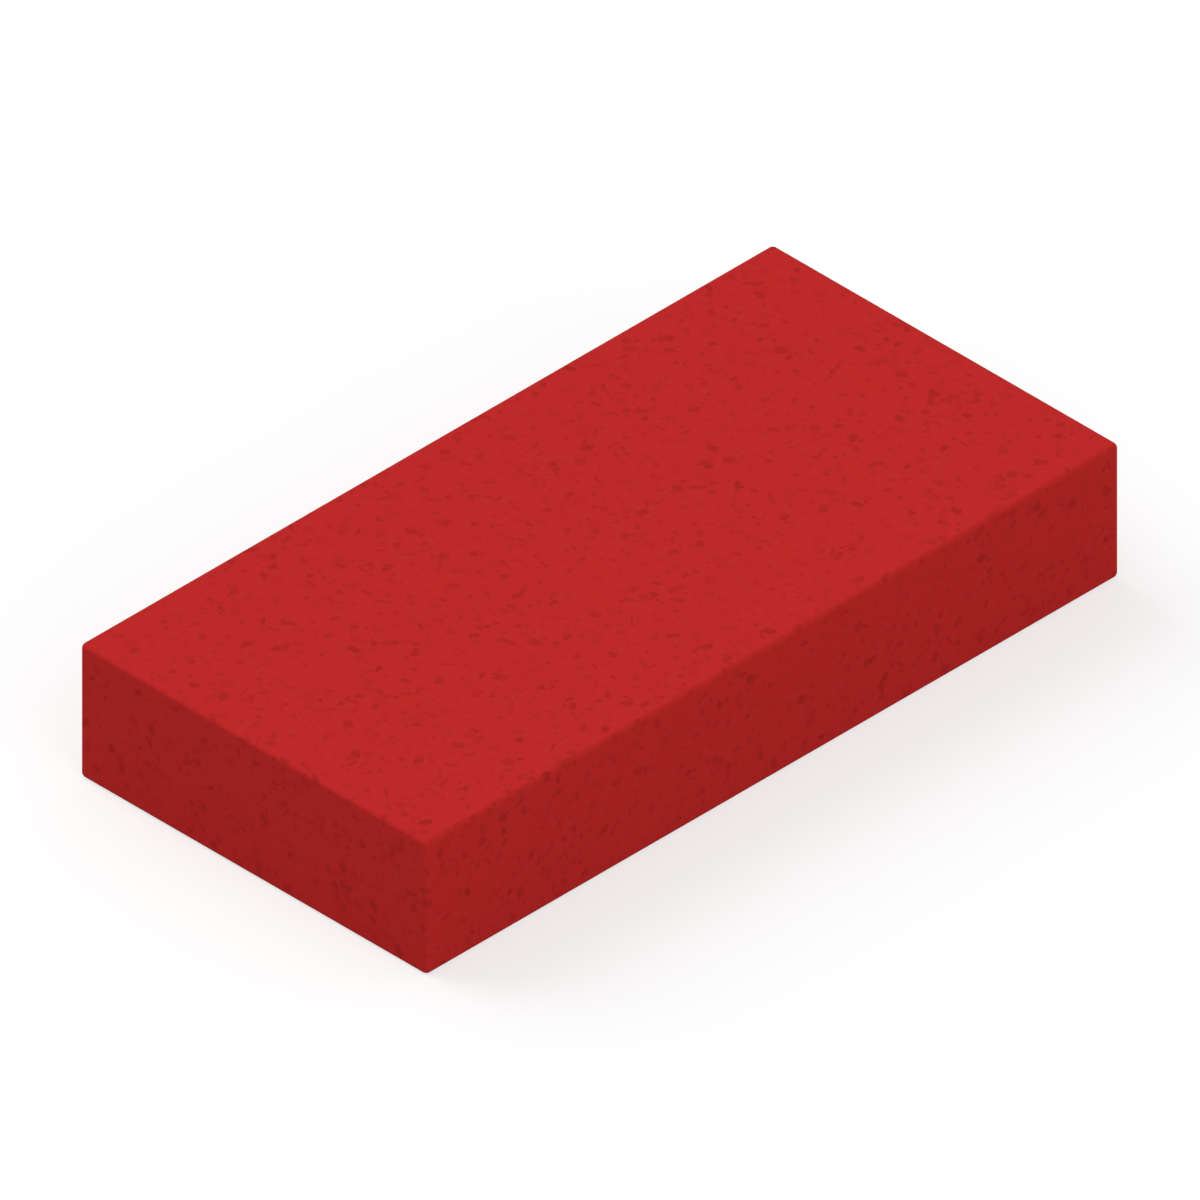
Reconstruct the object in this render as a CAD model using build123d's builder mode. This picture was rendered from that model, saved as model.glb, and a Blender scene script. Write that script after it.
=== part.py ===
from build123d import *

import os

# Concrete wall cap: one plain cast block with every edge eased to the same small radius.
# Millimetres. The origin is at the middle of the bed face, the side that lies on the wall.
# +X runs along the cap, +Y across the wall, and +Z points up.

# Driving dimensions: a 24 x 12 x 4 inch stock size
length = 609.6
width = 304.8
thickness = 101.6

# Round that the mould leaves on all twelve edges, an eighth of an inch
edge_radius = 3.175

# Wall cap
with BuildPart() as wall_cap:
    with BuildSketch(Plane.XY):
        Rectangle(length, width)
    extrude(amount=thickness)
    fillet(wall_cap.edges(), radius=edge_radius)

wall_cap.part.label = "wall_cap"

# The finished piece
os.makedirs("parts", exist_ok=True)
export_step(wall_cap.part, "parts/wall_cap.step")
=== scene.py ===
import math

import bmesh
import bpy
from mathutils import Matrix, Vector


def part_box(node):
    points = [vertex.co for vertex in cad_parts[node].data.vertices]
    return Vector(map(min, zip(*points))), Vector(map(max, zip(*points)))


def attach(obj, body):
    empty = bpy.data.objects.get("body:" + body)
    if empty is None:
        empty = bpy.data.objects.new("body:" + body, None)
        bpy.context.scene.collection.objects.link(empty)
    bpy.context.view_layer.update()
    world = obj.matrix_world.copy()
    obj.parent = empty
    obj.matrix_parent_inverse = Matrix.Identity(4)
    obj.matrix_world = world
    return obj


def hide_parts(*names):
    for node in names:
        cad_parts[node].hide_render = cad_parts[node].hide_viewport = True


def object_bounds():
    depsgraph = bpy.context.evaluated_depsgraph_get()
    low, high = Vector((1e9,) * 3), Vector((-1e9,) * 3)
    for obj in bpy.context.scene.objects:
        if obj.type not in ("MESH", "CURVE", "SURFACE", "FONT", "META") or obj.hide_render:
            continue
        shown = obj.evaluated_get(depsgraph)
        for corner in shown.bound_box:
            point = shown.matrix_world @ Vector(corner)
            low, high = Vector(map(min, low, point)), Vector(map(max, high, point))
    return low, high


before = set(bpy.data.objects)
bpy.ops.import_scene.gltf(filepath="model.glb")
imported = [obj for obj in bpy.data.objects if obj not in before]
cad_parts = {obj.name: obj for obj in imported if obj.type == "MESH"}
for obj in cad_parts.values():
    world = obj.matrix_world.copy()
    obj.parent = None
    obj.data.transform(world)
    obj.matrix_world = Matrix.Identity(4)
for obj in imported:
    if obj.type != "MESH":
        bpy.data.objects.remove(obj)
cad_low, cad_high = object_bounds()

# Shape of the cast block, in metres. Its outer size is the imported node's box.
# The mesh takes ARC_STEPS steps over half of an edge's round, and steps of about FLAT_STEP on the flat.
EDGE_RADIUS = 0.003175
HALF_ROUND = math.radians(45)
ARC_STEPS = 8
FLAT_STEP = 0.0127

# The eight corners are blunter than a ball of that radius, by this share of it along their diagonals.
# A direction's three parts, multiplied, come to DIAGONAL_PRODUCT along a diagonal and to 0 on the edges.
CORNER_BLUNT = 0.085
DIAGONAL_PRODUCT = (1 / math.sqrt(3)) ** 3

# View: a parallel, isometric look at the top, the left end and the front.
# The photo is PHOTO_SIDE pixels wide and high, and shows the block at PIXELS_PER_METRE.
# The block's middle lies this many pixels left of and below the middle of the photo.
VIEW_AZIMUTH = math.radians(-45)
VIEW_ELEVATION = math.asin(1 / math.sqrt(3))
PHOTO_SIDE = 1200
PIXELS_PER_METRE = 1607.5
MIDDLE_LEFT_OF_CENTRE = 0.42
MIDDLE_BELOW_CENTRE = 9.79
CAMERA_DISTANCE = 2.0

# Light: an even sky, a wide soft key lamp behind the block and a little to its left,
# a weaker fill in front and a little to its left, and a floor that the camera sees as white.
# A lamp of level 1 lights a surface that faces it so that its colour renders as written.
# FLOOR_LIFT is a glow of the floor where it is seen directly. Its half side and gap are in metres.
SKY_LEVEL = 0.572
LAMPS = {
    "key_lamp": dict(level=0.446, towards=(-0.25, 1.1, 1.0), angle=50),
    "front_fill": dict(level=0.303, towards=(-0.3, -1.0, 0.5), angle=60),
}
WHITE = (1.0, 1.0, 1.0, 1.0)
WHITE_LEVEL = 1.0
FLOOR_COLOUR = (0.4, 0.4, 0.4, 1.0)
FLOOR_LIFT = 0.62
FLOOR_HALF = 6.0
FLOOR_GAP = 0.0001

# Concrete. Lengths that the shader works with are in millimetres.
MILLIMETRES = 1000.0
RED = (0.503, 0.0212, 0.0198)
SPECULAR_LEVEL = 0.03
ROUGHNESS = 0.85
NOISE_DETAIL = 2.0

# Sandy skin: grains to the millimetre, how much they vary in colour and roughness,
# and their height in metres. Clouds are a faint, wide change of colour.
SAND_SCALE = 4.0
SAND_COLOUR = 0.18
SAND_ROUGHNESS = 0.1
SAND_HEIGHT = 0.00006
SAND_STRENGTH = 0.6
CLOUD_SCALE = 0.02
CLOUD_DETAIL = 1.0
CLOUD_COLOUR = 0.02

# Stone chips in the concrete. Each kind fills a pattern of cells, one chip to a cell.
# Lengths are in millimetres, breadth and thickness are shares of the half length,
# and shade is how much darker the chip is. Pairs are (least, most).
CHIP_KINDS = {
    "stone": dict(
        spacing=9.1,
        half_length=(1.4, 4.6),
        breadth=(0.5, 1.0),
        thickness=(0.33, 0.78),
        bend=0.0,
        shade=(0.035, 0.218),
    ),
    "grit": dict(
        spacing=6.7,
        half_length=(0.8, 2.1),
        breadth=(0.5, 1.0),
        thickness=(0.4, 0.9),
        bend=0.0,
        shade=(0.035, 0.178),
    ),
    "sliver": dict(
        spacing=12.0,
        half_length=(2.4, 5.2),
        breadth=(0.5, 0.9),
        thickness=(0.15, 0.26),
        bend=1.2,
        shade=(0.043, 0.2),
    ),
    "pale_stone": dict(
        spacing=14.0,
        half_length=(2.2, 5.2),
        breadth=(0.4, 0.8),
        thickness=(0.25, 0.6),
        bend=0.0,
        shade=(0.02, 0.085),
    ),
}

# What all kinds share: how far apart their patterns lie, and how far and how finely outlines wander
CHIP_SHIFT = 137.0
CHIP_WARP = 1.5
CHIP_WARP_SCALE = 0.25

# How deep a facet may cut a chip's corner, how round its corners and how soft its rim are
# as shares of its half size, and how much darker or paler one side of it is
CHIP_FACET = 1.3
CHIP_ROUND = 0.2
CHIP_RIM = 0.2
CHIP_TILT = 0.35

# Above 1, pale chips outnumber dark ones. Mottling then changes the shade within a chip.
SHADE_POWER = 1.5
MOTTLE_SCALE = 0.45
MOTTLE = 0.3


def add_node(tree, kind, inputs=(), **settings):
    """A new node. Inputs are (socket name or number, value or the socket that feeds it)."""
    made = tree.nodes.new(kind)
    for name, value in settings.items():
        setattr(made, name, value)
    for socket, value in inputs:
        if isinstance(value, bpy.types.NodeSocket):
            tree.links.new(value, made.inputs[socket])
        else:
            made.inputs[socket].default_value = value
    return made


def calculate(tree, operation, *values):
    """Result of one Math node."""
    return add_node(tree, "ShaderNodeMath", enumerate(values), operation=operation).outputs[0]


def calculate_vector(tree, operation, *values):
    """Result of one Vector Math node."""
    made = add_node(tree, "ShaderNodeVectorMath", enumerate(values), operation=operation)
    return made.outputs["Vector"]


def scale_vector(tree, vector, factor):
    """A vector or colour times a number."""
    inputs = [(0, vector), ("Scale", factor)]
    return add_node(tree, "ShaderNodeVectorMath", inputs, operation="SCALE").outputs["Vector"]


def separate(tree, vector):
    """The three parts of a vector."""
    return add_node(tree, "ShaderNodeSeparateXYZ", [("Vector", vector)]).outputs


def combine(tree, x, y, z):
    """A vector from its three parts."""
    return add_node(tree, "ShaderNodeCombineXYZ", [("X", x), ("Y", y), ("Z", z)]).outputs["Vector"]


def in_range(tree, share, low, high):
    """A number from 0 to 1, spread from low to high."""
    return calculate(tree, "MULTIPLY_ADD", share, high - low, low)


def next_random(tree, random):
    """Three new random numbers, drawn from three others."""
    return add_node(tree, "ShaderNodeTexWhiteNoise", [("Vector", random)]).outputs["Color"]


def noise(tree, point, scale, detail=NOISE_DETAIL):
    """The outputs of a noise pattern with this many waves to the millimetre."""
    inputs = [("Vector", point), ("Scale", scale), ("Detail", detail)]
    return add_node(tree, "ShaderNodeTexNoise", inputs).outputs


def seen_directly(tree):
    """1 for what the camera sees itself or in a mirror or glass, and 0 for soft light on other things."""
    paths = add_node(tree, "ShaderNodeLightPath").outputs
    seen = calculate(tree, "MAXIMUM", paths["Is Camera Ray"], paths["Is Glossy Ray"])
    return calculate(tree, "MAXIMUM", seen, paths["Is Transmission Ray"])


def chip_group(name, spacing, half_length, breadth, thickness, bend, shade):
    """Node group: one kind of stone chip, scattered through the concrete and cut by its surface.
    It gives how much darker the concrete is at a point."""
    tree = bpy.data.node_groups.new(name, "ShaderNodeTree")
    tree.interface.new_socket("Point", in_out="INPUT", socket_type="NodeSocketVector")
    tree.interface.new_socket("Shade", in_out="OUTPUT", socket_type="NodeSocketFloat")
    point = add_node(tree, "NodeGroupInput").outputs["Point"]

    # A chip's random numbers: how it lies, its size, the facet that cuts its corner, and its look
    cells = add_node(tree, "ShaderNodeTexVoronoi", [("Vector", point), ("Scale", 1 / spacing)]).outputs
    lie = cells["Color"]
    size = next_random(tree, lie)
    facet = next_random(tree, size)
    look = next_random(tree, facet)

    # The point in the chip's own axes, where the chip runs from -1 to 1
    local = calculate_vector(tree, "SUBTRACT", point, cells["Position"])
    roll_draw, pitch_draw, yaw_draw = separate(tree, lie)
    roll = calculate(tree, "MULTIPLY", roll_draw, math.tau)
    pitch = calculate(tree, "ARCSINE", in_range(tree, pitch_draw, -1.0, 1.0))
    yaw = calculate(tree, "MULTIPLY", yaw_draw, math.tau)
    turn = combine(tree, roll, pitch, yaw)
    local = add_node(
        tree, "ShaderNodeVectorRotate", [("Vector", local), ("Rotation", turn)], rotation_type="EULER_XYZ"
    ).outputs["Vector"]
    long_draw, broad_draw, thick_draw = separate(tree, size)
    length = in_range(tree, long_draw, *half_length)
    broad = calculate(tree, "MULTIPLY", length, in_range(tree, broad_draw, *breadth))
    thick = calculate(tree, "MULTIPLY", length, in_range(tree, thick_draw, *thickness))
    local = calculate_vector(tree, "DIVIDE", local, combine(tree, length, broad, thick))
    shade_draw, tilt_draw, bend_draw = separate(tree, look)
    along, across, through = separate(tree, local)
    bow = calculate(tree, "MULTIPLY", along, along)
    bow = calculate(tree, "MULTIPLY", bow, in_range(tree, bend_draw, -bend, bend))
    through = calculate(tree, "ADD", through, bow)

    # How far out of the chip the point lies, with 1 at its face
    facet = calculate_vector(tree, "MULTIPLY_ADD", facet, (2 * CHIP_FACET,) * 3, (-CHIP_FACET,) * 3)
    cut = add_node(
        tree, "ShaderNodeVectorMath", [(0, local), (1, facet)], operation="DOT_PRODUCT"
    ).outputs["Value"]
    out = calculate(tree, "ABSOLUTE", along)
    out = calculate(tree, "SMOOTH_MAX", out, calculate(tree, "ABSOLUTE", across), CHIP_ROUND)
    out = calculate(tree, "SMOOTH_MAX", out, calculate(tree, "ABSOLUTE", through), CHIP_ROUND)
    out = calculate(tree, "SMOOTH_MAX", out, cut, CHIP_ROUND)
    inside = add_node(
        tree,
        "ShaderNodeMapRange",
        [("Value", out), ("From Min", 1 + CHIP_RIM), ("From Max", 1 - CHIP_RIM)],
        interpolation_type="SMOOTHSTEP",
    ).outputs["Result"]

    # A chip is a little darker towards one side
    tilt = in_range(tree, tilt_draw, -CHIP_TILT, CHIP_TILT)
    tilt = calculate(tree, "MULTIPLY_ADD", tilt, across, 1.0)
    strength = in_range(tree, calculate(tree, "POWER", shade_draw, SHADE_POWER), *shade)
    strength = calculate(tree, "MULTIPLY", strength, tilt)
    add_node(tree, "NodeGroupOutput", [("Shade", calculate(tree, "MULTIPLY", inside, strength))])
    return tree


def concrete_material():
    """Red cast concrete with darker stone chips of the same hue and a sandy skin."""
    material = bpy.data.materials.new("red_concrete")
    material.use_nodes = True
    tree = material.node_tree
    tree.nodes.clear()
    place = add_node(tree, "ShaderNodeTexCoord").outputs["Object"]
    point = scale_vector(tree, place, MILLIMETRES)

    # Chips
    wobble = noise(tree, point, CHIP_WARP_SCALE)["Color"]
    wobble = calculate_vector(tree, "MULTIPLY_ADD", wobble, (CHIP_WARP,) * 3, point)
    dark = 0.0
    for number, (kind, values) in enumerate(CHIP_KINDS.items()):
        shifted = calculate_vector(tree, "ADD", wobble, (CHIP_SHIFT * number,) * 3)
        chips = add_node(
            tree, "ShaderNodeGroup", [("Point", shifted)], node_tree=chip_group(kind, **values)
        )
        dark = calculate(tree, "MAXIMUM", dark, chips.outputs["Shade"])
    mottle = noise(tree, point, MOTTLE_SCALE)["Fac"]
    dark = calculate(tree, "MULTIPLY", dark, in_range(tree, mottle, 1 - 2 * MOTTLE, 1 + 2 * MOTTLE))
    light = calculate(tree, "SUBTRACT", 1.0, dark)

    # Sandy skin and clouds
    sand = noise(tree, point, SAND_SCALE)["Fac"]
    clouds = noise(tree, point, CLOUD_SCALE, CLOUD_DETAIL)["Fac"]
    light = calculate(tree, "MULTIPLY", light, in_range(tree, sand, 1 - SAND_COLOUR, 1 + SAND_COLOUR))
    light = calculate(
        tree, "MULTIPLY", light, in_range(tree, clouds, 1 - CLOUD_COLOUR, 1 + CLOUD_COLOUR)
    )
    colour = scale_vector(tree, RED, light)
    bump = add_node(
        tree, "ShaderNodeBump", [("Height", sand), ("Strength", SAND_STRENGTH), ("Distance", SAND_HEIGHT)]
    ).outputs["Normal"]
    rough = in_range(tree, sand, ROUGHNESS - SAND_ROUGHNESS, ROUGHNESS + SAND_ROUGHNESS)
    shader = add_node(
        tree,
        "ShaderNodeBsdfPrincipled",
        [
            ("Base Color", colour),
            ("Roughness", rough),
            ("Normal", bump),
            ("Specular IOR Level", SPECULAR_LEVEL),
        ],
    )
    add_node(tree, "ShaderNodeOutputMaterial", [("Surface", shader.outputs["BSDF"])])
    return material


def grid_lines(low, high):
    """Places of the block's grid lines along one axis, before rounding.
    They lie evenly on the flat and close together at the edges."""
    inner_low = low + EDGE_RADIUS
    inner_high = high - EDGE_RADIUS
    turns = [HALF_ROUND * step / ARC_STEPS for step in range(1, ARC_STEPS + 1)]
    past = [EDGE_RADIUS * math.tan(turn) for turn in turns]
    count = round((inner_high - inner_low) / FLAT_STEP)
    flat = [inner_low + (inner_high - inner_low) * step / count for step in range(count + 1)]
    return [inner_low - step for step in reversed(past)] + flat + [inner_high + step for step in past]


def cast_block(low, high):
    """Closed mesh of a block with its edges rounded to EDGE_RADIUS and its corners a little blunter."""
    lines = [grid_lines(low[axis], high[axis]) for axis in range(3)]
    inner_low = low + Vector((EDGE_RADIUS,) * 3)
    inner_high = high - Vector((EDGE_RADIUS,) * 3)
    mesh = bmesh.new()
    made = {}

    def corner(index):
        """The vertex where three grid lines meet, moved onto the rounded surface."""
        if index not in made:
            square = Vector([lines[axis][index[axis]] for axis in range(3)])
            core = Vector([min(max(square[a], inner_low[a]), inner_high[a]) for a in range(3)])
            out = (square - core).normalized()
            diagonal = abs(out.x * out.y * out.z) / DIAGONAL_PRODUCT
            made[index] = mesh.verts.new(core + out * (EDGE_RADIUS * (1 - CORNER_BLUNT * diagonal)))
        return made[index]

    for axis in range(3):
        across, along = [a for a in range(3) if a != axis]
        for end in (0, len(lines[axis]) - 1):
            for i in range(len(lines[across]) - 1):
                for j in range(len(lines[along]) - 1):
                    ring = []
                    for step_i, step_j in ((0, 0), (1, 0), (1, 1), (0, 1)):
                        index = [0, 0, 0]
                        index[axis] = end
                        index[across] = i + step_i
                        index[along] = j + step_j
                        ring.append(corner(tuple(index)))
                    mesh.faces.new(ring)
    bmesh.ops.recalc_face_normals(mesh, faces=mesh.faces)
    for face in mesh.faces:
        face.smooth = True
    data = bpy.data.meshes.new("wall_cap_cast")
    mesh.to_mesh(data)
    mesh.free()
    piece = bpy.data.objects.new("wall_cap_cast", data)
    bpy.context.scene.collection.objects.link(piece)
    return piece


def floor_material():
    """Pale floor that takes the block's shadow and looks white to the camera where nothing shades it."""
    material = bpy.data.materials.new("floor")
    material.use_nodes = True
    tree = material.node_tree
    tree.nodes.clear()
    pale = add_node(tree, "ShaderNodeBsdfDiffuse", [("Color", FLOOR_COLOUR)]).outputs["BSDF"]
    lift = calculate(tree, "MULTIPLY", seen_directly(tree), FLOOR_LIFT)
    glow = add_node(
        tree, "ShaderNodeEmission", [("Color", WHITE), ("Strength", lift)]
    ).outputs["Emission"]
    both = add_node(tree, "ShaderNodeAddShader", [(0, pale), (1, glow)]).outputs["Shader"]
    add_node(tree, "ShaderNodeOutputMaterial", [("Surface", both)])
    return material


def add_floor():
    """Wide square floor, just below the block's underside."""
    data = bpy.data.meshes.new("floor")
    signs = ((-1, -1), (1, -1), (1, 1), (-1, 1))
    corners = [(x * FLOOR_HALF, y * FLOOR_HALF, -FLOOR_GAP) for x, y in signs]
    data.from_pydata(corners, [], [(0, 1, 2, 3)])
    data.materials.append(floor_material())
    floor = bpy.data.objects.new("floor", data)
    bpy.context.scene.collection.objects.link(floor)


def add_sky():
    """Even light from all round, with a white background for the camera."""
    world = bpy.data.worlds.new("sky")
    world.use_nodes = True
    tree = world.node_tree
    tree.nodes.clear()
    level = add_node(
        tree,
        "ShaderNodeMapRange",
        [("Value", seen_directly(tree)), ("To Min", SKY_LEVEL), ("To Max", WHITE_LEVEL)],
    ).outputs["Result"]
    light = add_node(
        tree, "ShaderNodeBackground", [("Color", WHITE), ("Strength", level)]
    ).outputs["Background"]
    add_node(tree, "ShaderNodeOutputWorld", [("Surface", light)])
    bpy.context.scene.world = world


def add_lamp(name, level, towards, angle):
    """Far, soft lamp that stands in the direction towards and looks angle degrees wide."""
    data = bpy.data.lights.new(name, "SUN")
    data.energy = level * math.pi
    data.angle = math.radians(angle)
    lamp = bpy.data.objects.new(name, data)
    lamp.rotation_mode = "QUATERNION"
    lamp.rotation_quaternion = Vector(towards).to_track_quat("Z", "Y")
    bpy.context.scene.collection.objects.link(lamp)


def add_camera():
    """Parallel camera, placed so that the block's middle falls where the photo shows it."""
    back = Vector(
        (
            math.sin(VIEW_AZIMUTH) * math.cos(VIEW_ELEVATION),
            -math.cos(VIEW_AZIMUTH) * math.cos(VIEW_ELEVATION),
            math.sin(VIEW_ELEVATION),
        )
    )
    right = Vector((0, 0, 1)).cross(back).normalized()
    up = back.cross(right)
    aim = (cad_low + cad_high) / 2
    aim += right * (MIDDLE_LEFT_OF_CENTRE / PIXELS_PER_METRE)
    aim += up * (MIDDLE_BELOW_CENTRE / PIXELS_PER_METRE)
    data = bpy.data.cameras.new("camera")
    data.type = "ORTHO"
    data.ortho_scale = PHOTO_SIDE / PIXELS_PER_METRE
    camera = bpy.data.objects.new("camera", data)
    camera.location = aim + back * CAMERA_DISTANCE
    camera.rotation_mode = "QUATERNION"
    camera.rotation_quaternion = back.to_track_quat("Z", "Y")
    bpy.context.scene.collection.objects.link(camera)
    bpy.context.scene.camera = camera


cap = cast_block(*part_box("wall_cap"))
cap.data.materials.append(concrete_material())
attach(cap, "root")
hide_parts("wall_cap")

add_floor()
add_sky()
for name, values in LAMPS.items():
    add_lamp(name, **values)
add_camera()
bpy.context.scene.view_settings.view_transform = "Standard"
